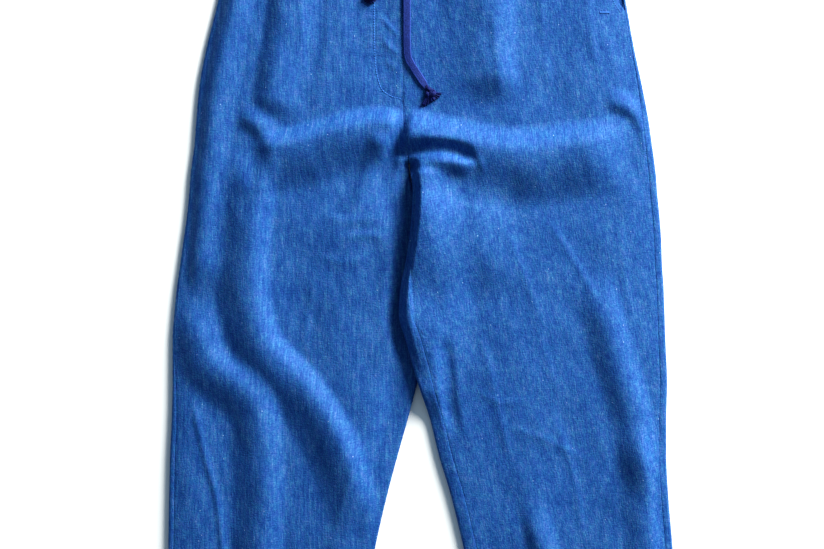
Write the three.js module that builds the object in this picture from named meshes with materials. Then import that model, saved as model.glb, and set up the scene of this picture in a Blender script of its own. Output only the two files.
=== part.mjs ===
// Blue chambray drawstring trousers, laid flat on a surface with the front up.
// Millimetres. +X is the wearer's left, +Y runs to the waist, +Z is up.
// The origin is on the resting surface, under the middle of the garment's box.
import * as THREE from "three";

// Cloth and seams
const WALL = 1.6;
const WAIST_WALL = 2.4;
const WAIST_PROUD = 0.4;
const HEM_WALL = 2.4;
const HEM_DEPTH = 26;
const HEM_STEP = 4;
const SEAM_GAP = 0.3;

// Lengths along the garment
const WAIST_TOP = 517;
const WAIST_SEAM = 479;
const CROTCH = 169;
const HEM = -504;
const HEM_SLANT = 26;
const SLANT_START = -240;

// Edge folds and the air between front and back
const EDGE_RADIUS = 3.5;
const PUFF = 5;
const PUFF_REACH = 22;
const INNER_REACH = 33;
const FOLD_FADE = 24;
const INNER_FADE = 16;
const SEAM_BLEND = 12;
const CROTCH_DIP = 40;
const CROTCH_STEP = 4;
const LEAST_HEIGHT = 6.2;

// The left leg lies over the right one at the inner thigh
const OVERLAP_LIFT = 12;
const LIFT_PLATEAU = 5;
const LIFT_SLOPE = 54;
const LIFT_TOP = 152;
const LIFT_END = -95;
const LIFT_FADE = 40;
const TUCK_WIDTH = 26;
const TUCK_AHEAD = 12;

// Gathers under the waistband
const GATHER_PITCH = 36;
const GATHER_HEIGHT = 3;
const GATHER_LENGTH = 185;
const GATHER_ON_BAND = 0.4;
const GATHER_WANDER = 1.4;
const GATHER_WANDER_LENGTH = 53;

// Left pocket mouth in the side seam
const POCKET_TOP = 474;
const POCKET_BOTTOM = 345;
const POCKET_OPEN = 6.5;
const POCKET_TAPER = 15;
const FACING_WALL = 1.2;
const FACING_TOP = 5;
const FACING_START = 3;
const FACING_END = 34;

// Flat drawstring tape, its tie and its end knots
const TAPE_WIDTH = 9.5;
const TAPE_THICKNESS = 1.8;
const TAPE_SIDES = 8;
const TAPE_REST = 0.45;
const TIE_SETTLE = 0.85;
const TIE = { x: -25.4, y: 495, halfLength: 16, halfWidth: 8, halfHeight: 5 };
const KNOT = { halfLength: 10, halfWidth: 8, halfHeight: 4.6 };

// Grid of the walls
const FRONT_COLUMNS = 14;
const SIDE_BAND = 16;
const EDGE_COLUMNS = 4;
const INNER_BAND = 22;
const BACK_COLUMNS = [0.22, 0.46, 0.66, 0.86];
const BAND_COLUMNS = 20;
const TAPE_STEP = 11;
const QUARTER = (Math.PI / 2) * EDGE_RADIUS;

// Outline seen from above: the side fold and the inner edge of each leg at each level.
// Above the crotch both inner edges are the centre seam.
const LEVELS = [
  { y: 517, rightSide: -217, rightInner: -25.4, leftInner: -25.4, leftSide: 217 },
  { y: 479, rightSide: -220, rightInner: -25.4, leftInner: -25.4, leftSide: 220 },
  { y: 408, rightSide: -234, rightInner: -25.4, leftInner: -25.4, leftSide: 231 },
  { y: 361, rightSide: -244, rightInner: -25.4, leftInner: -25.4, leftSide: 238 },
  { y: 304, rightSide: -258, rightInner: -25.4, leftInner: -25.4, leftSide: 248 },
  { y: 262, rightSide: -266, rightInner: -25.4, leftInner: -25.4, leftSide: 257 },
  { y: 219, rightSide: -270, rightInner: -25, leftInner: -25, leftSide: 265 },
  { y: 191, rightSide: -272, rightInner: -22, leftInner: -22, leftSide: 269 },
  { y: 169, rightSide: -275, rightInner: -18.9, leftInner: -18.1, leftSide: 272 },
  { y: 152, rightSide: -277, rightInner: -16.6, leftInner: -16, leftSide: 274 },
  { y: 137, rightSide: -278, rightInner: -12, leftInner: -14, leftSide: 275 },
  { y: 106, rightSide: -281, rightInner: -6, leftInner: -15.5, leftSide: 278 },
  { y: 78, rightSide: -285, rightInner: 1, leftInner: -18.3, leftSide: 280 },
  { y: 49, rightSide: -289, rightInner: 5.5, leftInner: -23, leftSide: 281 },
  { y: 20, rightSide: -293, rightInner: 7.7, leftInner: -28.5, leftSide: 283 },
  { y: -10, rightSide: -296, rightInner: 6.5, leftInner: -30.5, leftSide: 284 },
  { y: -40, rightSide: -298, rightInner: 3.5, leftInner: -22.5, leftSide: 285 },
  { y: -92, rightSide: -298, rightInner: -8.5, leftInner: -7.5, leftSide: 287 },
  { y: -134, rightSide: -299, rightInner: -19.5, leftInner: 6.5, leftSide: 286 },
  { y: -177, rightSide: -301, rightInner: -31.5, leftInner: 17, leftSide: 286 },
  { y: -220, rightSide: -302, rightInner: -43, leftInner: 30, leftSide: 288 },
  { y: -282, rightSide: -303, rightInner: -57.5, leftInner: 45.5, leftSide: 293 },
  { y: -400, rightSide: -304, rightInner: -81, leftInner: 73, leftSide: 300 },
  { y: -504, rightSide: -305, rightInner: -104, leftInner: 99, leftSide: 305 },
];

// How far each side seam lies inside its side fold
const SIDE_SEAM = [
  { y: 517, right: 8, left: 8 },
  { y: 479, right: 8, left: 8 },
  { y: 430, right: 3.4, left: 3.8 },
  { y: 385, right: 1.2, left: 2.3 },
  { y: 345, right: 0.9, left: 2.1 },
  { y: 306, right: 0.9, left: 2.5 },
  { y: 275, right: 0.9, left: 3.8 },
  { y: 230, right: 0.9, left: 6 },
  { y: 160, right: 0.9, left: 8 },
  { y: -30, right: 1, left: 8 },
  { y: -75, right: 2.6, left: 8 },
  { y: -146, right: 5.6, left: 8 },
  { y: -504, right: 6, left: 8 },
];

// How far the left leg's inseam lies inside its inner edge
const INSEAM = [
  { y: 169, inside: 0 },
  { y: 107, inside: 3 },
  { y: 20, inside: 11 },
  { y: -30, inside: 18 },
  { y: -76, inside: 18 },
  { y: -120, inside: 15 },
  { y: -504, inside: 15 },
];

// The largest folds, each a soft ridge along a path (a height below 0 is a valley).
// left and right are its half widths on each side of the path, begin and end its tapers.
const FOLDS = [
  { name: "outer hip", height: 8, left: 36, right: 16, begin: 60, end: 50,
    path: [[-222, 440], [-233, 361], [-254, 243], [-264, 149], [-268, 66], [-272, 7]] },
  { name: "outer sweep", height: 10, left: 30, right: 40, begin: 50, end: 110,
    path: [[-272, 7], [-257, -61], [-204, -109], [-192, -160], [-192, -300], [-188, -420]] },
  { name: "inner sweep", height: 12, left: 26, right: 46, begin: 50, end: 110,
    path: [[-190, 184], [-205, 66], [-194, -34], [-141, -97], [-97, -170], [-62, -285]] },
  { name: "inner thigh swell", height: 6, left: 26, right: 110, begin: 50, end: 90,
    path: [[-70, 150], [-50, 60], [-48, -30], [-66, -130], [-95, -230], [-112, -330]] },
  { name: "right hip gather", height: 9, left: 45, right: 26, begin: 20, end: 30,
    path: [[-160, 396], [-167, 325], [-186, 217]] },
  { name: "right seat fold", height: 14, left: 25, right: 56, begin: 30, end: 20,
    path: [[-206, 184], [-159, 188], [-82, 209], [-47, 212], [-23, 206]] },
  { name: "right hip notch", height: 5, left: 20, right: 16, begin: 18, end: 20,
    path: [[-220, 229], [-199, 215], [-178, 197]] },
  { name: "crotch streak", height: 6, left: 13, right: 20, begin: 20, end: 60,
    path: [[-48, 208], [-54, 178], [-70, 143], [-98, 104]] },
  { name: "left seat fold", height: 15, left: 27, right: 66, begin: 14, end: 60,
    path: [[-31, 206], [30, 192], [113, 179], [207, 191], [245, 194]] },
  { name: "crotch valley", height: -9, left: 15, right: 12, begin: 10, end: 34,
    path: [[-24, 184], [30, 183], [70, 169]] },
  { name: "crotch bulge", height: 5, left: 11, right: 18, begin: 12, end: 26,
    path: [[-15, 160], [36, 164], [68, 160]] },
  { name: "overlap crest", height: 8, left: 50, right: 16, begin: 22, end: 80,
    path: [[-4, 152], [-4, 106], [-7, 78], [-12, 49], [-17, 20], [-18, -10], [-9, -40], [6, -92]] },
  { name: "left thigh rise", height: 14, left: 66, right: 96, begin: 30, end: 60,
    path: [[-6, 104], [55, 96], [114, 106]] },
  { name: "left hip corner", height: 5, left: 20, right: 14, begin: 24, end: 24,
    path: [[209, 243], [243, 233], [262, 208], [268, 172]] },
  { name: "left hip crease", height: 10, left: 32, right: 84, begin: 20, end: 40,
    path: [[78, 396], [80, 314], [88, 236]] },
  { name: "left leg drag", height: 8, left: 26, right: 32, begin: 60, end: 60,
    path: [[199, 40], [225, -52], [252, -146], [272, -241]] },
  { name: "left shin edge", height: 7, left: 18, right: 34, begin: 50, end: 60,
    path: [[247, -135], [264, -253], [270, -360]] },
  { name: "left shin crease", height: 6, left: 24, right: 18, begin: 60, end: 60,
    path: [[120, -215], [150, -330], [196, -455]] },
  { name: "right shin crease", height: 5, left: 16, right: 24, begin: 50, end: 50,
    path: [[-118, -300], [-140, -380], [-150, -470]] },
  { name: "under overlap rise", height: 3.5, left: 5, right: 40, begin: 40, end: 60,
    path: [[-27, 168], [-24, 100], [-19, 20], [-12, -60]] },
  { name: "left inseam dip", height: -5, left: 13, right: 13, begin: 30, end: 40,
    path: [[22, -30], [27, -90], [36, -160]] },
];

// Routes of the two tape ends seen from above, from the tie to the end knots
const TAILS = {
  right: [[-33, 486], [-38, 466], [-45, 440], [-53, 412], [-59, 390], [-63, 370]],
  left: [[-21, 485], [-21, 460], [-21, 430], [-20.6, 395], [-20.6, 360], [-20.6, 330], [-20.4, 305],
    [-18.6, 291], [-11, 278], [-2.5, 265], [4.5, 254]],
};

const COLOURS = { cloth: "#2c60af", facing: "#234f97", tape: "#35389a" };

function clamp01(value) {
  return Math.min(Math.max(value, 0), 1);
}

function smooth(value) {
  const t = clamp01(value);
  return t * t * (3 - 2 * t);
}

function mix(a, b, t) {
  return a + (b - a) * t;
}

// A smooth curve through one column of a table, with no overshoot between its rows
function curveOf(rows, column) {
  const ys = rows.map((row) => row.y);
  const values = rows.map((row) => row[column]);
  const steps = ys.slice(1).map((y, i) => (values[i + 1] - values[i]) / (y - ys[i]));
  const slopes = values.map((_, i) => {
    if (i === 0) return steps[0];
    if (i === values.length - 1) return steps[i - 1];
    if (steps[i - 1] * steps[i] <= 0) return 0;
    return 2 / (1 / steps[i - 1] + 1 / steps[i]);
  });
  return (y) => {
    let i = 0;
    while (i < ys.length - 2 && y < ys[i + 1]) i += 1;
    const span = ys[i + 1] - ys[i];
    const t = clamp01((y - ys[i]) / span);
    const t2 = t * t;
    const t3 = t2 * t;
    return (2 * t3 - 3 * t2 + 1) * values[i] + (t3 - 2 * t2 + t) * span * slopes[i]
      + (3 * t2 - 2 * t3) * values[i + 1] + (t3 - t2) * span * slopes[i + 1];
  };
}

const rightLeg = {
  inward: 1,
  side: curveOf(LEVELS, "rightSide"),
  inner: curveOf(LEVELS, "rightInner"),
  sideSeam: curveOf(SIDE_SEAM, "right"),
};
const leftLeg = {
  inward: -1,
  side: curveOf(LEVELS, "leftSide"),
  inner: curveOf(LEVELS, "leftInner"),
  sideSeam: curveOf(SIDE_SEAM, "left"),
};
const inseamInside = curveOf(INSEAM, "inside");

// Each fold's path as short straight pieces with the length run before each
function foldLine(fold) {
  const curve = new THREE.SplineCurve(fold.path.map(([x, y]) => new THREE.Vector2(x, y)));
  const points = curve.getPoints(fold.path.length * 8);
  let run = 0;
  const pieces = points.slice(1).map((to, i) => {
    const from = points[i];
    const length = from.distanceTo(to);
    const piece = { from, to, length, run };
    run += length;
    return piece;
  });
  return { ...fold, pieces, total: run };
}

const foldLines = FOLDS.map(foldLine);

// Height that one fold adds at a point
function foldHeight(fold, x, y) {
  let nearest = Infinity;
  let side = 0;
  let along = 0;
  for (const { from, to, length, run } of fold.pieces) {
    const dx = to.x - from.x;
    const dy = to.y - from.y;
    const t = clamp01(((x - from.x) * dx + (y - from.y) * dy) / (length * length));
    const ex = x - (from.x + t * dx);
    const ey = y - (from.y + t * dy);
    const distance = Math.hypot(ex, ey);
    if (distance < nearest) {
      nearest = distance;
      side = dx * ey - dy * ex;
      along = run + t * length;
    }
  }
  const width = side > 0 ? fold.left : fold.right;
  const q = Math.max(1 - (nearest / width) ** 2, 0);
  return fold.height * q * q * smooth(along / fold.begin) * smooth((fold.total - along) / fold.end);
}

// Gathers drawn in by the waistband, uneven in pitch
function gatherHeight(x, y) {
  const wander = GATHER_WANDER * Math.sin(x / GATHER_WANDER_LENGTH);
  const wave = 0.5 + 0.5 * Math.cos((2 * Math.PI * x) / GATHER_PITCH + wander);
  const below = smooth((y - WAIST_SEAM + GATHER_LENGTH) / GATHER_LENGTH);
  const strength = y > WAIST_SEAM ? GATHER_ON_BAND : below;
  return GATHER_HEIGHT * strength * wave;
}

// How high the left leg lies over the right one
function lift(leg, x, y) {
  if (leg !== leftLeg) return 0;
  const past = x - rightLeg.inner(y) - LIFT_PLATEAU;
  const across = 1 - smooth(past / LIFT_SLOPE);
  const start = CROTCH - CROTCH_STEP;
  const belowCrotch = smooth((start - y) / (start - LIFT_TOP));
  const aboveEnd = smooth((y - LIFT_END + LIFT_FADE) / LIFT_FADE);
  return OVERLAP_LIFT * across * belowCrotch * aboveEnd;
}

// The right leg's front stays low where the left leg lies on it
function tuck(leg, x, y) {
  if (leg === leftLeg || y > CROTCH) return 1;
  const low = smooth((leftLeg.inner(y) - TUCK_AHEAD - x) / TUCK_WIDTH);
  const belowCrotch = smooth((CROTCH - y) / (CROTCH - LIFT_TOP));
  const aboveEnd = smooth((y - LIFT_END + LIFT_FADE) / LIFT_FADE);
  return mix(1, low, belowCrotch * aboveEnd);
}

// Height of the outer face of the front over the resting surface
function frontTop(leg, x, y, edgeLevel = y) {
  const fromSide = Math.max(leg.inward * (x - leg.side(edgeLevel)) - EDGE_RADIUS, 0);
  const fromInner = Math.max(leg.inward * (leg.inner(edgeLevel) - x) - EDGE_RADIUS, 0);
  const torso = smooth((y - CROTCH) / CROTCH_DIP);
  const torsoFolds = smooth((y - CROTCH + CROTCH_STEP) / SEAM_BLEND);
  const sidePuff = 1 - Math.exp(-fromSide / PUFF_REACH);
  const innerPuff = mix(1 - Math.exp(-fromInner / INNER_REACH), 1, torso);
  const sideKeep = 1 - (1 - clamp01(fromSide / FOLD_FADE)) ** 2;
  const innerKeep = 1 - (1 - clamp01(fromInner / INNER_FADE)) ** 2;
  const keep = sideKeep * mix(innerKeep, 1, torsoFolds);
  let folds = gatherHeight(x, y);
  for (const fold of foldLines) folds += foldHeight(fold, x, y);
  const rise = (PUFF * sidePuff * innerPuff + folds * keep) * tuck(leg, x, y);
  const base = lift(leg, x, y);
  return base + Math.max(2 * EDGE_RADIUS + rise, LEAST_HEIGHT);
}

// The hem runs a little lower at the inner edge
function slant(leg, x, level) {
  const across = clamp01((x - leg.side(level)) / (leg.inner(level) - leg.side(level)));
  return HEM_SLANT * (0.5 - across) * smooth((SLANT_START - level) / (SLANT_START - HEM));
}

function wallAt(level) {
  return mix(WALL, HEM_WALL, smooth((HEM + HEM_DEPTH + HEM_STEP - level) / HEM_STEP));
}

function facePoint(leg, x, level, wall) {
  const y = level + slant(leg, x, level);
  const z = frontTop(leg, x, y, level);
  return { outer: new THREE.Vector3(x, y, z), inner: new THREE.Vector3(x, y, z - wall) };
}

// A point round a folded edge, at a run measured up from the middle of the fold's bulge
function edgePoint(leg, edge, inward, run, level, wall) {
  if (run >= QUARTER) return facePoint(leg, edge + inward * (EDGE_RADIUS + run - QUARTER), level, wall);
  const angle = Math.max(run / EDGE_RADIUS, -Math.PI / 2);
  const beyond = Math.max(-run - QUARTER, 0);
  const x = edge + inward * (EDGE_RADIUS * (1 - Math.cos(angle)) + beyond);
  const y = level + slant(leg, x, level);
  const z = lift(leg, x, y) + EDGE_RADIUS * (1 + Math.sin(angle));
  const inner = new THREE.Vector3(x + inward * wall * Math.cos(angle), y, z - wall * Math.sin(angle));
  return { outer: new THREE.Vector3(x, y, z), inner };
}

// The run round a folded edge that lies a given distance inside it, on the upper side
function runAt(inside) {
  if (inside >= EDGE_RADIUS) return QUARTER + inside - EDGE_RADIUS;
  return EDGE_RADIUS * Math.acos(1 - inside / EDGE_RADIUS);
}

function innerSeamRun(leg, level) {
  return leg === leftLeg ? runAt(Math.max(inseamInside(level), 0)) : 0;
}

function pocketOpening(leg, level) {
  if (leg !== leftLeg) return 0;
  const aboveBottom = smooth((level - POCKET_BOTTOM) / POCKET_TAPER);
  const belowTop = smooth((POCKET_TOP - level) / POCKET_TAPER);
  return POCKET_OPEN * aboveBottom * belowTop;
}

function frontRow(leg, level) {
  const wall = wallAt(level);
  const side = leg.side(level);
  const inner = leg.inner(level);
  const seam = runAt(leg.sideSeam(level) + pocketOpening(leg, level)) + SEAM_GAP / 2;
  const flatFrom = Math.max(QUARTER, seam + 1);
  const sideRuns = [...spread(seam, flatFrom, 2), ...spread(flatFrom, runAt(SIDE_BAND), 2).slice(1)];
  const stop = inner - leg.inward * INNER_BAND;
  const face = [
    ...sideRuns.map((run) => edgePoint(leg, side, leg.inward, run, level, wall)),
    ...spread(side + leg.inward * SIDE_BAND, stop, FRONT_COLUMNS).slice(1)
      .map((x) => facePoint(leg, x, level, wall)),
  ];
  if (level > CROTCH) {
    const insides = spread(INNER_BAND, SEAM_GAP / 2, EDGE_COLUMNS).slice(1);
    return [...face, ...insides.map((inside) => facePoint(leg, inner - leg.inward * inside, level, wall))];
  }
  const runs = spread(runAt(INNER_BAND), innerSeamRun(leg, level) + SEAM_GAP / 2, EDGE_COLUMNS).slice(1);
  return [...face, ...runs.map((run) => edgePoint(leg, inner, -leg.inward, run, level, wall))];
}

// The back panel from the side seam round the side fold, along the surface and up the inner edge
function backRow(leg, level, wall) {
  const side = leg.side(level);
  const inner = leg.inner(level);
  const sideSeam = runAt(leg.sideSeam(level)) - SEAM_GAP / 2;
  const width = Math.abs(inner - side) - 3 * EDGE_RADIUS;
  const flat = BACK_COLUMNS.map((share) => -QUARTER - share * width);
  const runs = [sideSeam, ...spread(Math.min(QUARTER, sideSeam - 1), -QUARTER, 4), ...flat];
  const row = runs.map((run) => edgePoint(leg, side, leg.inward, run, level, wall));
  if (level > CROTCH) {
    const insides = spread(INNER_BAND, SEAM_GAP / 2, 5);
    return [...row, ...insides.map((inside) => {
      const x = inner - leg.inward * inside;
      return { outer: new THREE.Vector3(x, level, 0), inner: new THREE.Vector3(x, level, wall) };
    })];
  }
  const seamRun = innerSeamRun(leg, level) - SEAM_GAP / 2;
  const top = Math.min(QUARTER, mix(-QUARTER, seamRun, 0.8));
  const innerRuns = [...spread(-QUARTER, top, 4), seamRun];
  return [...row, ...innerRuns.map((run) => edgePoint(leg, inner, -leg.inward, run, level, wall))];
}

// A closed wall from rows of outer and inner points
function wallMesh(name, rows, colour) {
  const columns = rows[0].length;
  const count = rows.length * columns;
  const positions = [];
  for (const face of ["outer", "inner"]) {
    for (const row of rows) for (const point of row) positions.push(...point[face].toArray());
  }
  const index = [];
  const quad = (a, b, c, d) => index.push(a, b, c, a, c, d);
  const at = (j, i) => j * columns + i;
  for (let j = 0; j < rows.length - 1; j += 1) {
    for (let i = 0; i < columns - 1; i += 1) {
      quad(at(j, i), at(j + 1, i), at(j + 1, i + 1), at(j, i + 1));
      quad(count + at(j, i), count + at(j, i + 1), count + at(j + 1, i + 1), count + at(j + 1, i));
    }
  }
  const rim = [];
  for (let i = 0; i < columns - 1; i += 1) rim.push(at(0, i));
  for (let j = 0; j < rows.length - 1; j += 1) rim.push(at(j, columns - 1));
  for (let i = columns - 1; i > 0; i -= 1) rim.push(at(rows.length - 1, i));
  for (let j = rows.length - 1; j > 0; j -= 1) rim.push(at(j, 0));
  rim.forEach((a, k) => {
    const b = rim[(k + 1) % rim.length];
    quad(a, b, count + b, count + a);
  });
  return solidMesh(name, positions, index, colour);
}

function signedVolume(positions, index) {
  const corner = (k) => new THREE.Vector3().fromArray(positions, index[k] * 3);
  let volume = 0;
  for (let k = 0; k < index.length; k += 3) volume += corner(k).dot(corner(k + 1).cross(corner(k + 2)));
  return volume / 6;
}

function solidMesh(name, positions, index, colour) {
  if (signedVolume(positions, index) < 0) index.reverse();
  const geometry = new THREE.BufferGeometry();
  geometry.setAttribute("position", new THREE.Float32BufferAttribute(positions, 3));
  geometry.setIndex(index);
  geometry.computeVertexNormals();
  return named(name, geometry, colour);
}

function named(name, geometry, colour) {
  const material = new THREE.MeshStandardMaterial({ color: colour, roughness: 0.9, metalness: 0 });
  const mesh = new THREE.Mesh(geometry, material);
  mesh.name = name;
  return mesh;
}

function spread(from, to, count) {
  return Array.from({ length: count + 1 }, (_, i) => mix(from, to, i / count));
}

// Levels of the rows, closest together round the crotch folds
const torsoLevels = [
  ...spread(WAIST_SEAM - SEAM_GAP / 2, 242, 10),
  ...spread(230, CROTCH + CROTCH_STEP, 6),
];
const legLevels = [
  ...spread(CROTCH - CROTCH_STEP, 133, 4),
  ...spread(120, -145, 12),
  ...spread(-172, HEM + HEM_DEPTH + HEM_STEP, 10),
  HEM + HEM_DEPTH,
  HEM,
];
const panelLevels = [...torsoLevels, ...legLevels];

function frontPanel(name, leg) {
  return wallMesh(name, panelLevels.map((level) => frontRow(leg, level)), COLOURS.cloth);
}

function backPanel(name, leg) {
  return wallMesh(name, panelLevels.map((level) => backRow(leg, level, wallAt(level))), COLOURS.cloth);
}

const bandLevels = [WAIST_SEAM + SEAM_GAP / 2, (WAIST_SEAM + WAIST_TOP) / 2, WAIST_TOP];

function legAt(x) {
  return x < rightLeg.inner(WAIST_TOP) ? rightLeg : leftLeg;
}

function waistbandFront() {
  const rows = bandLevels.map((level) => {
    const start = rightLeg.side(level) + rightLeg.sideSeam(level) + SEAM_GAP / 2;
    const stop = leftLeg.side(level) - leftLeg.sideSeam(level) - SEAM_GAP / 2;
    return spread(start, stop, BAND_COLUMNS).map((x) => {
      const z = frontTop(legAt(x), x, level) + WAIST_PROUD;
      return { outer: new THREE.Vector3(x, level, z), inner: new THREE.Vector3(x, level, z - WAIST_WALL) };
    });
  });
  return wallMesh("waistband_front", rows, COLOURS.cloth);
}

function waistbandBack() {
  const rows = bandLevels.map((level) => {
    const right = backRow(rightLeg, level, WAIST_WALL).slice(0, -6);
    const left = backRow(leftLeg, level, WAIST_WALL).slice(0, -6).reverse();
    return [...right, ...left];
  });
  return wallMesh("waistband_back", rows, COLOURS.cloth);
}

function pocketFacing() {
  const rows = spread(POCKET_BOTTOM - 8, POCKET_TOP - 2, 6).map((level) => (
    [FACING_START, 12, 22, FACING_END].map((inside) => {
      const x = leftLeg.side(level) - inside;
      return {
        outer: new THREE.Vector3(x, level, FACING_TOP),
        inner: new THREE.Vector3(x, level, FACING_TOP - FACING_WALL),
      };
    })));
  return wallMesh("pocket_facing_left", rows, COLOURS.facing);
}

// Top of the front and of the waistband's step, highest within the tape's width
function restHeight(x, y) {
  let top = 0;
  for (const dx of [-8, -4, 0, 4, 8]) {
    for (const dy of [-6, 0, 6]) {
      const leg = x + dx < rightLeg.inner(y + dy) ? rightLeg : leftLeg;
      const proud = y + dy > WAIST_SEAM - 4 ? WAIST_PROUD : 0;
      top = Math.max(top, frontTop(leg, x + dx, y + dy) + proud);
    }
  }
  return top;
}

function tapeSection(path, steps) {
  const frame = path.computeFrenetFrames(steps, false);
  const up = new THREE.Vector3(0, 0, 1);
  const tilt = Math.atan2(up.dot(frame.binormals[0]), up.dot(frame.normals[0]));
  const shape = new THREE.Shape();
  for (let i = 0; i < TAPE_SIDES; i += 1) {
    const angle = ((i + 0.5) / TAPE_SIDES) * 2 * Math.PI;
    const thick = (TAPE_THICKNESS / 2) * Math.cos(angle);
    const wide = (TAPE_WIDTH / 2) * Math.sign(Math.sin(angle)) * Math.abs(Math.sin(angle)) ** 0.5;
    const x = thick * Math.cos(tilt) - wide * Math.sin(tilt);
    const y = thick * Math.sin(tilt) + wide * Math.cos(tilt);
    if (i === 0) shape.moveTo(x, y);
    else shape.lineTo(x, y);
  }
  return shape;
}

function tail(name, route, endHeight) {
  const last = route.length - 1;
  const points = route.map(([x, y], i) => {
    const lying = restHeight(x, y) + TAPE_REST + TAPE_THICKNESS / 2;
    if (i === 0) return new THREE.Vector3(x, y, Math.max(lying, tieCentre().z - 1));
    if (i === last) return new THREE.Vector3(x, y, Math.max(lying, endHeight));
    return new THREE.Vector3(x, y, lying);
  });
  const path = new THREE.CatmullRomCurve3(points);
  const steps = Math.round(path.getLength() / TAPE_STEP);
  const geometry = new THREE.ExtrudeGeometry(tapeSection(path, steps), { steps, extrudePath: path });
  return named(name, geometry, COLOURS.tape);
}

function lump(name, centre, halves, turn) {
  const geometry = new THREE.SphereGeometry(1, 12, 8);
  geometry.rotateX(Math.PI / 2);
  const mesh = named(name, geometry, COLOURS.tape);
  mesh.scale.set(halves.halfLength, halves.halfWidth, halves.halfHeight);
  mesh.rotation.z = turn;
  mesh.position.copy(centre);
  return mesh;
}

function tieCentre() {
  const height = restHeight(TIE.x, TIE.y) + SEAM_GAP + TIE.halfHeight - TIE_SETTLE;
  return new THREE.Vector3(TIE.x, TIE.y, height);
}

// The end knot carries on in the direction of the tail's last stretch
function endKnot(route) {
  const [fromX, fromY] = route[route.length - 2];
  const [toX, toY] = route[route.length - 1];
  const turn = Math.atan2(toY - fromY, toX - fromX);
  const reach = KNOT.halfLength + 0.4;
  const x = toX + reach * Math.cos(turn);
  const y = toY + reach * Math.sin(turn);
  const centre = new THREE.Vector3(x, y, restHeight(x, y) + SEAM_GAP + KNOT.halfHeight);
  return { centre, turn };
}

const group = new THREE.Group();
group.add(frontPanel("front_right", rightLeg));
group.add(frontPanel("front_left", leftLeg));
group.add(backPanel("back_right", rightLeg));
group.add(backPanel("back_left", leftLeg));
group.add(waistbandFront());
group.add(waistbandBack());
group.add(pocketFacing());
group.add(lump("drawstring_tie", tieCentre(), TIE, 0));
for (const [hand, route] of Object.entries(TAILS)) {
  const knot = endKnot(route);
  group.add(tail(`drawstring_tail_${hand}`, route, knot.centre.z));
  group.add(lump(`drawstring_knot_${hand}`, knot.centre, KNOT, knot.turn));
}

export default group;
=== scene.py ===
"""Blue chambray drawstring trousers laid flat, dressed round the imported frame.

Lengths are in millimetres in the frame's axes until points_in_metres turns them into Blender's metres.
+X is the wearer's left, +Y runs to the waist, +Z is up from the resting surface.
"""
import math
from types import SimpleNamespace

import bpy
import numpy as np
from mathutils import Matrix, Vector


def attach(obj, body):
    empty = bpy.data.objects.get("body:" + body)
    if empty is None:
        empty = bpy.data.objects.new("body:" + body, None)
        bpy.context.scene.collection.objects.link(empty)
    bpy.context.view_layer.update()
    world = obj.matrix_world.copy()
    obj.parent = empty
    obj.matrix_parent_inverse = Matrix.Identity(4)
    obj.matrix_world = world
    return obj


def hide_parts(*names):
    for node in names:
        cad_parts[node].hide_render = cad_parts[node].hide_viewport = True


MM = 0.001
UP = np.array([0.0, 0.0, 1.0])

# The photograph's frame
PHOTO_WIDTH = 824
MM_PER_PIXEL = 1.18
VIEW_CENTRE = (-14.75, 37.17)
LENS = 85.0
SENSOR = 36.0
CLOTH_LEVEL = 10.0

# Lengths along the garment
WAIST_TOP = 517.0
WAIST_SEAM = 479.0
CROTCH = 169.0
CROTCH_STEP = 4.0
HEM = -504.0
HEM_SLANT = 26.0
SLANT_START = -240.0
HEM_STITCH = 25.0
HEM_ROW = 23.0

# Seams, edge folds and the air between front and back
HALF_GAP = 0.03
PANEL_TOP = WAIST_SEAM - HALF_GAP
EDGE_RADIUS = 3.5
QUARTER = math.pi / 2 * EDGE_RADIUS
PUFF = 5.0
PUFF_REACH = 22.0
INNER_REACH = 33.0
FOLD_FADE = 24.0
INNER_FADE = 16.0
LAP_FADE = 7.0
SEAM_BLEND = 12.0
CROTCH_DIP = 40.0
LEAST_HEIGHT = 6.2

# The left leg lies over the right one at the inner thigh
OVERLAP_LIFT = 12.0
LIFT_PLATEAU = 5.0
LIFT_SLOPE = 54.0
LIFT_TOP = 152.0
LIFT_END = -95.0
LIFT_FADE = 40.0
TUCK_WIDTH = 20.0
TUCK_AHEAD = 2.0

# Gathers under the waistband
GATHER_PITCH = 36.0
GATHER_HEIGHT = 3.0
GATHER_LENGTH = 185.0
GATHER_ON_BAND = 0.4
GATHER_WANDER = 1.4
GATHER_WANDER_LENGTH = 53.0

# Left pocket mouth in the side seam
POCKET_TOP = 474.0
POCKET_BOTTOM = 345.0
POCKET_OPEN = 6.5
POCKET_TAPER = 15.0

# Shell of the cloth
CLOTH = 1.0
HEM_LAYER = 0.9
BAND_CLOTH = 2.0
BAND_PROUD = 0.4
BAND_ROW = 4.0
UNDER_BAND = -2.6
FLOOR_CLEARANCE = 0.5
SEAM_DIP = 0.3
SEAM_DIP_WIDTH = 2.2
ALLOWANCE = (7.0, 3.5, 0.9)
ALLOWANCE_DROP = 1.75
PUCKER = 0.22
PUCKER_PITCH = 8.0
FLY_PUCKER = 0.35
FLY_DENT = 0.45

# Grid of the shells
ROW_STEP = 3.2
FACE_COLUMNS = 82
SIDE_BAND = 16.0
INNER_BAND = 22.0
BACK_BAND = 13.2
SIDE_COLUMNS = 7
INNER_COLUMNS = 12
BACK_COLUMNS = 48
BACK_ARC_COLUMNS = 14
BACK_INNER_COLUMNS = 20
NEAR_SEAM = (0.0, 0.5, 1.1, 2.0, 3.2)
FAR = 99.0

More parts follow.
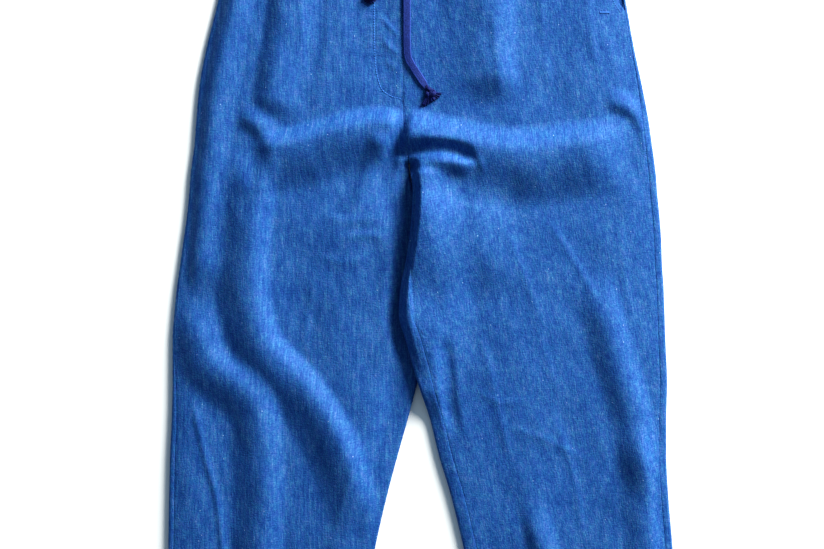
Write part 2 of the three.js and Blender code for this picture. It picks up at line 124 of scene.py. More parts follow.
# Drawstring
TAPE_WIDTH = 8.6
TAPE_THICKNESS = 1.3
TAPE_REST = 0.6
TAPE_RISE = 1.6
TAPE_STEP = 2.2
KNOT_REACH = 10.4
KNOT_SCALE = 1.7
KNOT_LIFT = 3.6
STRANDS = 44
TIE_PLACE = (-25.4, 495.0)
EYELETS = ((-46.0, 497.0), (-4.8, 497.0))
EYELET_RADIUS = 4.0

# Stitches
STITCH_PITCH = 3.1
STITCH_LENGTH = 2.5
STITCH_WIDTH = 0.85
STITCH_HEIGHT = 0.55
BAR_TACK = (207, 218, 346)
BAR_TACK_STITCHES = 15
EYELET_STITCHES = 26
POCKET_STITCH_INSET = 6.5

# Outline from above: y, right side fold, right inner edge, left inner edge, left side fold
LEVELS = (
    (517, -217, -25.4, -25.4, 217),
    (479, -220, -25.4, -25.4, 220),
    (408, -234, -25.4, -25.4, 231),
    (361, -244, -25.4, -25.4, 238),
    (304, -258, -25.4, -25.4, 248),
    (262, -266, -25.4, -25.4, 257),
    (219, -270, -25, -25, 265),
    (191, -272, -22, -22, 269),
    (169, -275, -18.9, -18.1, 272),
    (152, -277, -16.6, -16, 274),
    (137, -278, -12, -14, 275),
    (106, -281, -6, -15.5, 278),
    (78, -285, 1, -18.3, 280),
    (49, -289, 5.5, -23, 281),
    (20, -293, 7.7, -28.5, 283),
    (-10, -296, 6.5, -30.5, 284),
    (-40, -298, 3.5, -22.5, 285),
    (-92, -298, -8.5, -7.5, 287),
    (-134, -299, -19.5, 6.5, 286),
    (-177, -301, -31.5, 17, 286),
    (-220, -302, -43, 30, 288),
    (-282, -303, -57.5, 45.5, 293),
    (-400, -304, -81, 73, 300),
    (-504, -305, -104, 99, 305),
)

# How far each side seam lies inside its side fold: y, right, left
SIDE_SEAM = (
    (517, 8, 8),
    (479, 8, 8),
    (430, 3.4, 3.8),
    (385, 1.2, 2.3),
    (345, 0.9, 2.1),
    (306, 0.9, 2.5),
    (275, 0.9, 3.8),
    (230, 0.9, 6),
    (160, 0.9, 8),
    (-30, 1, 8),
    (-75, 2.6, 8),
    (-146, 5.6, 8),
    (-504, 6, 8),
)

# How far the left leg's inseam lies inside its inner edge: y, inside
INSEAM = ((169, 0), (107, 3), (20, 11), (-30, 18), (-76, 18), (-120, 15), (-504, 15))

# Slow uneven waves of handled cloth: length, height and how many
WAVES = ((85.0, 0.8, 5), (40.0, 0.352, 6), (19.0, 0.16, 8))
WAVE_SLANT = 0.55

# Ridges along paths: height, half width on the path's left and right, tapers at its two ends
FOLD_COLUMNS = ("name", "height", "left", "right", "begin", "end", "path")
FOLDS = (
    ("outer hip", 8, 36, 16, 60, 50,
     ((-222, 440), (-233, 361), (-254, 243), (-264, 149), (-268, 66), (-272, 7))),
    ("outer sweep", 10, 30, 40, 50, 110,
     ((-272, 7), (-257, -61), (-204, -109), (-192, -160), (-192, -300), (-188, -420))),
    ("inner sweep", 12, 26, 46, 50, 110,
     ((-190, 184), (-205, 66), (-194, -34), (-141, -97), (-97, -170), (-62, -285))),
    ("inner thigh swell", 6, 26, 110, 50, 90,
     ((-70, 150), (-50, 60), (-48, -30), (-66, -130), (-95, -230), (-112, -330))),
    ("right hip gather", 9, 45, 26, 20, 30, ((-160, 396), (-167, 325), (-186, 217))),
    ("right seat fold", 14, 25, 56, 30, 20,
     ((-206, 184), (-159, 188), (-82, 209), (-47, 212), (-23, 206))),
    ("right hip notch", 5, 20, 16, 18, 20, ((-220, 229), (-199, 215), (-178, 197))),
    ("crotch streak", 6, 13, 20, 20, 60, ((-48, 208), (-54, 178), (-70, 143), (-98, 104))),
    ("left seat fold", 15.5, 34, 66, 14, 60,
     ((-31, 206), (30, 192), (113, 179), (207, 191), (245, 194))),
    ("crotch valley", -9.5, 15, 10, 10, 34, ((-27, 170), (-18, 182), (28, 184), (70, 170))),
    ("crotch bulge", 6, 9, 16, 8, 24, ((-12, 165), (20, 169), (62, 162))),
    ("overlap crest", 7, 46, 16, 14, 80,
     ((-15, 170), (-12, 132), (-12, 106), (-15, 78), (-20, 49), (-25, 20), (-26, -10), (-18, -40),
      (-2, -92))),
    ("left thigh rise", 13, 66, 96, 26, 60, ((-30, 106), (55, 96), (114, 106))),
    ("left hip corner", 5, 20, 14, 24, 24, ((209, 243), (243, 233), (262, 208), (268, 172))),
    ("left hip crease", 10, 32, 84, 20, 40, ((78, 396), (80, 314), (88, 236))),
    ("left leg drag", 8, 26, 32, 60, 60, ((199, 40), (225, -52), (252, -146), (272, -241))),
    ("left shin edge", 7, 18, 34, 50, 60, ((247, -135), (264, -253), (270, -360))),
    ("left shin crease", 6, 24, 18, 60, 60, ((120, -215), (150, -330), (196, -455))),
    ("right shin crease", 5, 16, 24, 50, 50, ((-118, -300), (-140, -380), (-150, -470))),
    ("under overlap rise", 2.5, 5, 40, 40, 60, ((-27, 168), (-24, 100), (-19, 20), (-12, -60))),
    ("left inseam dip", -5, 13, 13, 30, 40, ((22, -30), (27, -90), (36, -160))),
)

# Fine creases on the fronts, with a sharp crest
CREASES = (
    ("right shin press", 2.2, 10, 7, 30, 60,
     ((-275, -108), (-259, -177), (-245, -230), (-238, -300), (-236, -420))),
    ("left hip press", 0.8, 14, 7, 20, 25, ((80, 350), (83, 300), (90, 240))),
    ("thigh ripple a", 1.0, 8, 15, 24, 34, ((-124, 110), (-92, 101), (-46, 106))),
    ("thigh ripple b", 1.4, 9, 14, 30, 20, ((-108, 76), (-74, 84), (-40, 80))),
    ("thigh ripple c", 0.9, 10, 16, 30, 30, ((-134, 62), (-96, 52), (-54, 60))),
    ("fly whisker a", 1.3, 5, 6, 8, 8, ((-52, 342), (-40, 328), (-28, 318))),
    ("fly whisker b", 1.2, 5, 6, 8, 8, ((-50, 316), (-40, 304), (-28, 296))),
    ("fly whisker c", 1.0, 5, 5, 8, 8, ((-48, 290), (-38, 283), (-28, 279))),
    ("left drag a", 0.9, 8, 13, 25, 35, ((95, 96), (124, 19), (146, -40))),
    ("left drag b", 1.1, 7, 12, 25, 35, ((142, 107), (183, 43), (211, -7))),
    ("left drag c", 0.8, 8, 14, 30, 30, ((124, 7), (142, -52), (160, -111))),
    ("left drag d", 1.0, 8, 14, 30, 40, ((65, -28), (86, -111), (103, -194))),
    ("left drag e", 0.8, 8, 12, 35, 35, ((231, 107), (240, 7), (254, -76))),
    ("left drag f", 0.9, 7, 12, 40, 40, ((150, -120), (176, -200), (190, -290))),
    ("left ripple a", 0.9, 8, 13, 30, 40, ((54, -93), (89, -113), (136, -108))),
    ("left ripple b", 0.8, 8, 14, 30, 40, ((92, -140), (150, -160), (204, -190))),
    ("right gather a", 0.9, 8, 12, 20, 35, ((-147, 430), (-144, 330), (-141, 262))),
    ("right gather b", 0.8, 8, 11, 20, 35, ((-112, 430), (-114, 330), (-118, 268))),
    ("left gather a", 0.8, 8, 12, 20, 35, ((135, 430), (140, 320), (150, 250))),
    ("left gather b", 0.9, 8, 12, 20, 35, ((190, 430), (196, 330), (206, 270))),
    ("right drag a", 0.8, 9, 13, 30, 40, ((-128, 30), (-140, -40), (-118, -90))),
    ("right drag b", 0.9, 8, 12, 40, 40, ((-70, -150), (-96, -230), (-112, -300))),
    ("valley corner", 1.6, 7, 4, 8, 14, ((54, 190), (64, 172), (70, 152))),
)

# Routes of the two tape ends from the tie to their knots
TAILS = {
    "right": ((-33, 486), (-38, 466), (-45, 440), (-53, 412), (-59, 390), (-63, 370)),
    "left": ((-21, 485), (-21, 460), (-21, 430), (-20.6, 395), (-20.6, 360), (-20.6, 330), (-20.4, 305),
             (-18.6, 291), (-11, 278), (-2.5, 265), (4.5, 254)),
}

# The frayed fan below each end knot: direction in degrees and length
FANS = {
    "right": ((-20, 8), (-60, 9.5), (-100, 10.5), (-140, 10)),
    "left": ((-4, 14), (-45, 10.5), (-88, 11), (-122, 19)),
}

# The curved row of stitches beside the centre front
FLY_STITCH = ((-59, 477), (-59.6, 349), (-59.2, 318), (-58.4, 290), (-56, 272), (-51.3, 257), (-45, 250.5),
              (-37, 246.5), (-28, 244.5))


def smooth(value):
    t = np.clip(value, 0.0, 1.0)
    return t * t * (3 - 2 * t)


def mix(a, b, t):
    return a + (b - a) * t


def ridges(table, sharp):
    return [SimpleNamespace(sharp=sharp, **dict(zip(FOLD_COLUMNS, row))) for row in table]


def curve_of(table, column):
    """A smooth curve through one column of a table of levels, with no overshoot between rows."""
    ys = np.array([row[0] for row in table], float)
    values = np.array([row[column] for row in table], float)
    steps = np.diff(values) / np.diff(ys)
    slopes = np.zeros_like(values)
    slopes[0] = steps[0]
    slopes[-1] = steps[-1]
    for i in range(1, len(values) - 1):
        if steps[i - 1] * steps[i] > 0:
            slopes[i] = 2 / (1 / steps[i - 1] + 1 / steps[i])

    def at(y):
        y = np.asarray(y, float)
        i = np.clip(np.searchsorted(-ys, -y, side="right") - 1, 0, len(ys) - 2)
        span = ys[i + 1] - ys[i]
        t = np.clip((y - ys[i]) / span, 0, 1)
        rise = (2 * t**3 - 3 * t**2 + 1) * values[i] + (t**3 - 2 * t**2 + t) * span * slopes[i]
        return rise + (3 * t**2 - 2 * t**3) * values[i + 1] + (t**3 - t**2) * span * slopes[i + 1]

    return at


def leg_of(name, inward, side, inner, seam):
    """One leg's outline, from its columns in the tables of levels."""
    edges = {"side": curve_of(LEVELS, side), "inner": curve_of(LEVELS, inner)}
    return SimpleNamespace(name=name, inward=inward, side_seam=curve_of(SIDE_SEAM, seam), **edges)


RIGHT = leg_of("right", 1.0, 1, 2, 1)
LEFT = leg_of("left", -1.0, 4, 3, 2)
inseam_inside = curve_of(INSEAM, 1)


def spline(path, per_span=8):
    """Points along a Catmull-Rom curve through a short path."""
    p = np.array(path, float)
    q = np.vstack([p[:1], p, p[-1:]])
    t = np.linspace(0, 1, per_span, endpoint=False)[:, None]
    parts = []
    for i in range(len(p) - 1):
        a, b, c, d = q[i], q[i + 1], q[i + 2], q[i + 3]
        bend = (2 * a - 5 * b + 4 * c - d) * t**2 + (3 * b - a - 3 * c + d) * t**3
        parts.append(0.5 * (2 * b + (c - a) * t + bend))
    return np.vstack(parts + [p[-1:]])


def along_path(points, x, y):
    """Distance to a path, which side of it, and the run along it, for many places at once."""
    nearest = np.full(x.shape, np.inf)
    side = np.zeros(x.shape)
    along = np.zeros(x.shape)
    run = 0.0
    for (ax, ay), (bx, by) in zip(points[:-1], points[1:]):
        dx, dy = bx - ax, by - ay
        length = math.hypot(dx, dy)
        t = np.clip(((x - ax) * dx + (y - ay) * dy) / length**2, 0, 1)
        ex, ey = x - (ax + t * dx), y - (ay + t * dy)
        distance = np.hypot(ex, ey)
        closer = distance < nearest
        nearest = np.where(closer, distance, nearest)
        side = np.where(closer, dx * ey - dy * ex, side)
        along = np.where(closer, run + t * length, along)
        run += length
    return nearest, side, along, run


def fold_height(fold, x, y):
    """Height that one fold adds, worked out only near its path."""
    points = spline(fold.path)
    reach = max(fold.left, fold.right)
    low, high = points.min(0) - reach, points.max(0) + reach
    near = (x > low[0]) & (x < high[0]) & (y > low[1]) & (y < high[1])
    height = np.zeros(x.shape)
    if not near.any():
        return height
    distance, side, along, total = along_path(points, x[near], y[near])
    share = distance / np.where(side > 0, fold.left, fold.right)
    profile = np.clip(1 - (share if fold.sharp else share**2), 0, 1) ** 2
    height[near] = fold.height * profile * smooth(along / fold.begin) * smooth((total - along) / fold.end)
    return height


RIDGES = ridges(FOLDS, False) + ridges(CREASES, True)


def gather_height(x, y):
    wander = GATHER_WANDER * np.sin(x / GATHER_WANDER_LENGTH)
    wave = 0.5 + 0.5 * np.cos(2 * math.pi * x / GATHER_PITCH + wander)
    below = smooth((y - WAIST_SEAM + GATHER_LENGTH) / GATHER_LENGTH)
    return GATHER_HEIGHT * np.where(y > WAIST_SEAM, GATHER_ON_BAND, below) * wave


def cloth_waves(x, y, seed):
    rng = np.random.default_rng(seed)
    total = np.zeros(x.shape)
    for length, height, count in WAVES:
        for _ in range(count):
            angle = rng.uniform(0, math.pi)
            phase = rng.uniform(0, 2 * math.pi)
            wave = length * rng.uniform(0.8, 1.25)
            across = x * math.cos(angle) + WAVE_SLANT * y * math.sin(angle)
            total += height / math.sqrt(count) * np.sin(2 * math.pi * across / wave + phase)
    return total


def above_lap_end(y):
    return smooth((y - LIFT_END + LIFT_FADE) / LIFT_FADE)


def lift(leg, x, y):
    """How high the left leg lies over the right one."""
    if leg is not LEFT:
        return np.zeros(np.shape(x))
    across = 1 - smooth((x - RIGHT.inner(y) - LIFT_PLATEAU) / LIFT_SLOPE)
    start = CROTCH - CROTCH_STEP
    below_crotch = smooth((start - y) / (start - LIFT_TOP))
    return OVERLAP_LIFT * across * below_crotch * above_lap_end(y)


def tuck(leg, x, y):
    """The right leg's front stays low where the left leg lies on it."""
    if leg is LEFT:
        return 1.0
    low = smooth((LEFT.inner(y) - TUCK_AHEAD - x) / TUCK_WIDTH)
    reach = smooth((CROTCH - y) / (CROTCH - LIFT_TOP)) * above_lap_end(y)
    return mix(1.0, low, np.where(y > CROTCH, 0.0, reach))


def front_top(leg, x, y, level):
    """Height of the front's outer face over the resting surface."""
    from_side = np.maximum(leg.inward * (x - leg.side(level)) - EDGE_RADIUS, 0)
    from_inner = np.maximum(leg.inward * (leg.inner(level) - x) - EDGE_RADIUS, 0)
    torso = smooth((y - CROTCH) / CROTCH_DIP)
    torso_folds = smooth((y - CROTCH + CROTCH_STEP) / SEAM_BLEND)
    side_puff = 1 - np.exp(-from_side / PUFF_REACH)
    inner_puff = mix(1 - np.exp(-from_inner / INNER_REACH), 1.0, torso)
    side_keep = 1 - (1 - np.clip(from_side / FOLD_FADE, 0, 1)) ** 2
    inner_fade = mix(INNER_FADE, LAP_FADE, above_lap_end(y)) if leg is LEFT else INNER_FADE
    inner_keep = 1 - (1 - np.clip(from_inner / inner_fade, 0, 1)) ** 2
    keep = side_keep * mix(inner_keep, 1.0, torso_folds)
    folds = gather_height(x, y)
    for ridge in RIDGES:
        folds = folds + fold_height(ridge, x, y)
    folds = folds + cloth_waves(x, y, 11)
    rise = (PUFF * side_puff * inner_puff + folds * keep) * tuck(leg, x, y)
    return lift(leg, x, y) + np.maximum(2 * EDGE_RADIUS + rise, LEAST_HEIGHT)


def slant(leg, x, level):
    across = np.clip((x - leg.side(level)) / (leg.inner(level) - leg.side(level)), 0, 1)
    return HEM_SLANT * (0.5 - across) * smooth((SLANT_START - level) / (SLANT_START - HEM))


def run_at(inside):
    """The run round a folded edge that lies a given distance inside it, on the upper side."""
    inside = np.asarray(inside, float)
    round_part = EDGE_RADIUS * np.arccos(np.clip(1 - inside / EDGE_RADIUS, -1, 1))
    return np.where(inside >= EDGE_RADIUS, QUARTER + inside - EDGE_RADIUS, round_part)


def face_points(leg, x, level):
    y = level + slant(leg, x, level)
    return np.stack([x, y, front_top(leg, x, y, level)], -1)


def edge_part(leg, edge, inward, run, from_seam, level):
    """Points round a folded edge, at runs measured up from the middle of the fold's bulge.

    Their weave is that of the cloth laid out flat.
    """
    on_top = run >= QUARTER
    angle = np.clip(run / EDGE_RADIUS, -math.pi / 2, math.pi / 2)
    beyond = np.maximum(np.abs(run) - QUARTER, 0)
    x = edge + inward * (EDGE_RADIUS * (1 - np.cos(angle)) + beyond)
    y = level + slant(leg, x, level)
    z = lift(leg, x, y) + EDGE_RADIUS * (1 + np.sin(angle))
    z = np.where(on_top, front_top(leg, x, y, level), z)
    across = edge + inward * (run - QUARTER + EDGE_RADIUS)
    return np.stack([x, y, z], -1), from_seam, across


def inner_seam_run(leg, level):
    if leg is LEFT:
        return run_at(np.maximum(inseam_inside(level), 0))
    return np.zeros(np.shape(level))


def pocket_opening(leg, level):
    if leg is not LEFT:
        return np.zeros(np.shape(level))
    above_bottom = smooth((level - POCKET_BOTTOM) / POCKET_TAPER)
    return POCKET_OPEN * above_bottom * smooth((POCKET_TOP - level) / POCKET_TAPER)


def panel_levels():
    under_band = PANEL_TOP + np.array(ALLOWANCE)
    torso = np.linspace(PANEL_TOP, CROTCH + 1, round((WAIST_SEAM - CROTCH) / ROW_STEP))
    leg = np.linspace(CROTCH - 2, HEM, round((CROTCH - HEM) / ROW_STEP))
    return np.concatenate([under_band, torso, leg])


def toward_seam(band, end, count, allowance):
    """Places from a band's far side to a seam and on under the next piece, closest beside the seam."""
    near = np.array(NEAR_SEAM[::-1])
    far = mix(band, end + near[0], np.linspace(0, 1, count, endpoint=False))
    under = end - allowance * np.array(ALLOWANCE[::-1])
    rows = len(allowance)
    return np.hstack([np.broadcast_to(part, (rows, part.shape[-1])) for part in (far, end + near, under)])


def assembled(parts, flat, turned, level):
    """A panel's points, distances from a seam and weave, with its inner end flat down to the crotch."""
    torso = level > CROTCH
    end = [np.where(torso if a.ndim == 2 else torso[..., None], a, b) for a, b in zip(flat, turned)]
    points, from_seam, across = (np.concatenate(group, 1) for group in zip(*parts, end))
    return points, np.minimum(from_seam, PANEL_TOP - level), across


def front_grid(leg, levels):
    """Outer points of a front panel, the distance of each from its nearest seam, and its weave across."""
    level = levels[:, None]
    side, inner = leg.side(level), leg.inner(level)
    seam = run_at(leg.side_seam(level) + pocket_opening(leg, level)) + HALF_GAP
    side_runs = toward_seam(run_at(SIDE_BAND), seam, SIDE_COLUMNS, np.zeros(level.shape))
    side_runs = side_runs[:, :-len(ALLOWANCE)][:, ::-1]
    start = side + leg.inward * SIDE_BAND
    stop = inner - leg.inward * INNER_BAND
    face_x = mix(start, stop, np.linspace(0, 1, FACE_COLUMNS + 1)[1:])
    tucked_under = np.where((level > CROTCH) & (leg is LEFT), 1.0, 0.02)
    insides = toward_seam(INNER_BAND, HALF_GAP, INNER_COLUMNS, tucked_under)[:, 1:]
    inner_seam = inner_seam_run(leg, level) + HALF_GAP
    runs = toward_seam(run_at(INNER_BAND), inner_seam, INNER_COLUMNS, tucked_under)[:, 1:]
    flat_x = inner - leg.inward * insides
    parts = [
        edge_part(leg, side, leg.inward, side_runs, side_runs - seam, level),
        (face_points(leg, face_x, level), np.full(face_x.shape, FAR), face_x),
    ]
    flat = (face_points(leg, flat_x, level), insides - HALF_GAP, flat_x)
    turned = edge_part(leg, inner, -leg.inward, runs, runs - inner_seam, level)
    return assembled(parts, flat, turned, level)


def back_grid(leg, levels):
    """Outer points of a back panel from the side seam, round the fold and underneath to its inner seam."""
    level = levels[:, None]
    side, inner = leg.side(level), leg.inner(level)
    seam = run_at(leg.side_seam(level)) - HALF_GAP
    shut = 1 - 0.9 * pocket_opening(leg, level) / POCKET_OPEN
    under = seam + shut * np.array(ALLOWANCE)
    strip = seam - np.array(NEAR_SEAM)
    arc = mix(strip[:, -1:] - 0.9, -QUARTER, np.linspace(0, 1, BACK_ARC_COLUMNS))
    width = np.abs(inner - side) - 2 * EDGE_RADIUS - INNER_BAND
    flat_runs = -QUARTER - width * np.linspace(0, 1, BACK_COLUMNS)[1:]
    runs = np.hstack([under, strip, arc, flat_runs])
    turned_seam = HALF_GAP - inner_seam_run(leg, level)
    allowed = np.where((level > CROTCH) & (leg is RIGHT), 0.02, 1.0)
    rising = -toward_seam(BACK_BAND + QUARTER, turned_seam, BACK_INNER_COLUMNS, allowed)
    insides = toward_seam(BACK_BAND + EDGE_RADIUS, HALF_GAP, BACK_INNER_COLUMNS, allowed)
    flat_x = inner - leg.inward * insides
    underneath = np.stack([flat_x, np.broadcast_to(level, flat_x.shape), np.zeros(flat_x.shape)], -1)
    flat = (underneath, insides - HALF_GAP, flat_x)
    turned = edge_part(leg, inner, -leg.inward, rising, -turned_seam - rising, level)
    return assembled([edge_part(leg, side, leg.inward, runs, seam - runs, level)], flat, turned, level)


def grid_normals(points):
    """Unit normals of a grid of points, pointing up or out on a front panel's face."""
    down = np.gradient(points, axis=0)
    across = np.gradient(points, axis=1)
    normal = np.cross(across, -down)
    return normal / np.maximum(np.linalg.norm(normal, axis=2, keepdims=True), 1e-9)


def points_in_metres(points):
    return (np.asarray(points, float).reshape(-1, 3) * MM).tolist()


def linked(name, data):
    """A new object of the data, in the scene."""
    thing = bpy.data.objects.new(name, data)
    bpy.context.scene.collection.objects.link(thing)
    return thing


def new_mesh(name, points, faces, grain=None):
    mesh = bpy.data.meshes.new(name)
    mesh.from_pydata(points_in_metres(points), [], faces)
    if grain is not None:
        weave = mesh.attributes.new("grain", "FLOAT_VECTOR", "POINT")
        weave.data.foreach_set("vector", np.asarray(grain, np.float32).ravel())
    mesh.validate()
    mesh.update()
    mesh.shade_smooth()
    return linked(name, mesh)


def shell(name, outer, inner, grain):
    """A closed thin shell from grids of outer and inner points."""
    rows, columns = outer.shape[:2]
    count = rows * columns
    index = np.arange(count).reshape(rows, columns)
    a, b = index[:-1, :-1].ravel(), index[1:, :-1].ravel()
    c, d = index[1:, 1:].ravel(), index[:-1, 1:].ravel()
    top = np.stack([a, b, c, d], 1)
    bottom = np.stack([a, d, c, b], 1) + count
    rim = np.concatenate([index[0, :-1], index[:-1, -1], index[-1, :0:-1], index[:0:-1, 0]])
    after = np.roll(rim, -1)
    edge = np.stack([rim, after, after + count, rim + count], 1)
    faces = np.vstack([top, bottom, edge])
    points = np.concatenate([outer.reshape(-1, 3), inner.reshape(-1, 3)])
    first = points[faces]
    volume = np.einsum("ij,ij->i", first[:, 0], np.cross(first[:, 1], first[:, 2])).sum()
    if volume < 0:
        faces = faces[:, ::-1]
    return new_mesh(name, points, faces.tolist(), np.concatenate([grain.reshape(-1, 3)] * 2))


def grain_of(points, lean, across=None):
    """Weave coordinates in millimetres: across the warp, along it, and the height."""
    x = points[..., 0] if across is None else across
    y, z = points[..., 1], points[..., 2]
    angle = np.radians(lean)
    u = x * np.cos(angle) + y * np.sin(angle)
    v = y * np.cos(angle) - x * np.sin(angle)
    return np.stack([u + 0.2 * z, v + 0.3 * z, z], -1)


def seam_relief(distance, along):
    """Depth of the dip and the puckers beside a seam, and of the allowance under the next piece."""
    dip = SEAM_DIP * (1 - smooth(distance / SEAM_DIP_WIDTH))
    wave = np.sin(2 * math.pi * along / PUCKER_PITCH + 1.7 * np.sin(along / 23))
    wave = wave + 0.6 * np.sin(2 * math.pi * along / (PUCKER_PITCH * 1.63) + 0.8)
    shown = PUCKER * wave * np.exp(-np.maximum(distance, 0) / 4.5) * smooth(distance / 1.2) - dip
    return np.where(distance < -1e-6, -ALLOWANCE_DROP, shown)


def hem_relief(from_hem):
    """The hem's turned-up layer stands out a little, with a dip along its stitching."""
    doubled = 0.5 * smooth((HEM_STITCH - from_hem) / 2)
    return doubled - 0.5 * np.exp(-((from_hem - HEM_ROW) / 1.6) ** 2)


# Outer points and normals of each panel, for the stitches that lie on it
SURFACES = {}


def layer(name, points, normals, relief, thickness, grain):
    """A layer of cloth on a grid of points, raised by its relief."""
    outer = points + normals * relief[..., None]
    SURFACES[name] = (outer, normals)
    return shell(name, outer, outer - normals * thickness[..., None], grain)


def panel_shell(name, points, normals, relief, levels, grain):
    """A panel, thicker at its hem, whose top edge lies under the waistband."""
    relief = np.where(levels[:, None] > WAIST_SEAM, UNDER_BAND, relief)
    from_hem = (levels - HEM)[:, None]
    thickness = CLOTH + HEM_LAYER * smooth((HEM_STITCH - from_hem) / 2)
    return layer(name, points, normals, relief, thickness, grain)


def fly_relief(x, y):
    """The dent and the puckers along the curved stitching beside the centre front."""
    distance, _, along, _ = along_path(spline(FLY_STITCH), x, y)
    wave = np.sin(2 * math.pi * along / 11 + 1.3 * np.sin(along / 29))
    puckers = FLY_PUCKER * wave * np.exp(-((distance - 4) / 4) ** 2)
    return puckers - FLY_DENT * np.exp(-((distance / 1.5) ** 2))


def front_panel(leg, lean):
    levels = panel_levels()
    points, from_seam, across = front_grid(leg, levels)
    normals = grid_normals(points) * leg.inward
    relief = seam_relief(from_seam, points[..., 1]) + hem_relief((levels - HEM)[:, None])
    if leg is RIGHT:
        relief = relief + fly_relief(points[..., 0], points[..., 1])
    grain = grain_of(points, lean, across)
    return panel_shell(f"front_{leg.name}_cloth", points, normals, relief, levels, grain)


def back_panel(leg, lean):
    levels = panel_levels()
    points, from_seam, across = back_grid(leg, levels)
    normals = -grid_normals(points) * leg.inward
    underside = normals[..., 2] < -0.7
    points[..., 2] += FLOOR_CLEARANCE
    waves = 0.9 + cloth_waves(points[..., 0], points[..., 1], 29)
    creased = np.where(underside, np.clip(waves, 0, 3) * smooth(from_seam / 20), 0)
    relief = seam_relief(from_seam, points[..., 1])
    relief = np.where(underside, np.minimum(relief, 0), relief) - creased
    grain = grain_of(points, lean, across)
    return panel_shell(f"back_{leg.name}_cloth", points, normals, relief, levels, grain)


def torso_top(x, y):
    x, y = np.asarray(x, float), np.asarray(y, float)
    left = front_top(LEFT, x, y, y)
    return np.where(x < RIGHT.inner(y), front_top(RIGHT, x, y, y), left)


def waistband_front():
    levels = np.concatenate([
        WAIST_SEAM + HALF_GAP + np.array([0, 0.6, 1.4, 2.6]),
        np.linspace(WAIST_SEAM + 4.5, WAIST_TOP - 4, 9),
        WAIST_TOP - np.array([2.4, 1.2, 0.5, 0]),
    ])[::-1]
    start = RIGHT.side(levels) + RIGHT.side_seam(levels) + HALF_GAP
    stop = LEFT.side(levels) - LEFT.side_seam(levels) - HALF_GAP
    x = mix(start[:, None], stop[:, None], np.linspace(0, 1, 180)[None, :])
    y = np.broadcast_to(levels[:, None], x.shape)
    points = np.stack([x, y, torso_top(x, y) + BAND_PROUD], -1)
    normals = grid_normals(points)
    edge = np.minimum(y - WAIST_SEAM, WAIST_TOP - y)
    pucker = 0.35 * np.sin(2 * math.pi * x / 9.5 + 1.5 * np.sin(x / 31)) * smooth(edge / 6)
    groove = 0.55 * np.exp(-((edge - BAND_ROW) / 1.2) ** 2)
    rounding = 0.8 * (1 - smooth(edge / 2.2))
    relief = pucker - groove - rounding
    thickness = BAND_CLOTH - 0.9 * (1 - smooth(edge / 1.5))
    return layer("waistband_front_cloth", points, normals, relief, thickness, grain_of(points, 90))


def waistband_back():
    levels = np.linspace(WAIST_TOP, WAIST_SEAM + HALF_GAP, 14)
    under = len(ALLOWANCE)
    to_centre = -(BACK_INNER_COLUMNS + len(NEAR_SEAM) + under)
    right, left = (back_grid(leg, levels)[0][:, :to_centre] for leg in (RIGHT, LEFT))
    points = np.concatenate([right, left[:, ::-1]], 1)
    normals = -grid_normals(points)
    points[..., 2] += FLOOR_CLEARANCE
    relief = np.full(points.shape[:2], -0.2)
    thickness = np.full(points.shape[:2], BAND_CLOTH)
    for columns in (slice(None, under), slice(-under, None)):
        relief[:, columns] = -BAND_CLOTH - 0.4
        thickness[:, columns] = CLOTH
    return layer("waistband_back_cloth", points, normals, relief, thickness, grain_of(points, 90))


def pocket_facing():
    levels = np.linspace(POCKET_TOP - 2, POCKET_BOTTOM - 8, 50)
    inside = np.linspace(3, 34, 24)
    x = LEFT.side(levels)[:, None] - inside[None, :]
    y = np.broadcast_to(levels[:, None], x.shape)
    z = 4.9 + 0.1 * np.sin(y / 9) * np.sin(x / 7)
    outer = np.stack([x, y, z], -1)
    return shell("pocket_facing_cloth", outer, outer - CLOTH * UP, grain_of(outer, 4))


# Drawstring

def runs_of(points):
    """The run along a line at each of its points."""
    return np.concatenate([[0], np.cumsum(np.linalg.norm(np.diff(points, axis=0), axis=1))])


def resampled(points, step):
    """Points an even step apart along a line."""
    points = np.asarray(points, float)
    runs = runs_of(points)
    count = max(round(runs[-1] / step), 3)
    places = np.linspace(0, runs[-1], count + 1)
    return np.stack([np.interp(places, runs, column) for column in points.T], -1)


def unit(vectors):
    return vectors / np.maximum(np.linalg.norm(vectors, axis=-1, keepdims=True), 1e-9)


def band_section(sides):
    """A flat section with round edges, as shares of its half width and half thickness."""
    angle = 2 * math.pi * (np.arange(sides) + 0.5) / sides
    across, up = np.cos(angle), np.sin(angle)
    return np.sign(across) * np.abs(across) ** 0.6, np.sign(up) * np.abs(up) ** 0.7


def swept(name, centre, half_width, half_thickness, roll=0.0, sides=14, closed=False):
    """A flat band along a line in space, with its weave laid across and along it."""
    count = len(centre)
    if closed:
        tangent = unit(np.roll(centre, -1, 0) - np.roll(centre, 1, 0))
    else:
        tangent = unit(np.gradient(centre, axis=0))
    level = unit(np.cross(UP, tangent))
    upright = np.cross(tangent, level)
    sizes = (roll, half_width, half_thickness)
    roll, half_width, half_thickness = (np.broadcast_to(size, (count,))[:, None] for size in sizes)
    lateral = level * np.cos(roll) + upright * np.sin(roll)
    normal = upright * np.cos(roll) - level * np.sin(roll)
    across, up = band_section(sides)
    across, up = half_width * across, half_thickness * up
    points = centre[:, None, :] + across[..., None] * lateral[:, None, :] + up[..., None] * normal[:, None, :]
    along = np.broadcast_to(runs_of(centre)[:, None], across.shape)
    index = np.arange(count * sides).reshape(count, sides)
    if closed:
        index = np.vstack([index, index[:1]])
    a, b = index[:-1], index[1:]
    faces = np.stack([a, np.roll(a, -1, 1), np.roll(b, -1, 1), b], -1).reshape(-1, 4).tolist()
    if not closed:
        faces += [index[0, ::-1].tolist(), index[-1].tolist()]
    return new_mesh(name, points, faces, np.stack([across, along, up], -1))


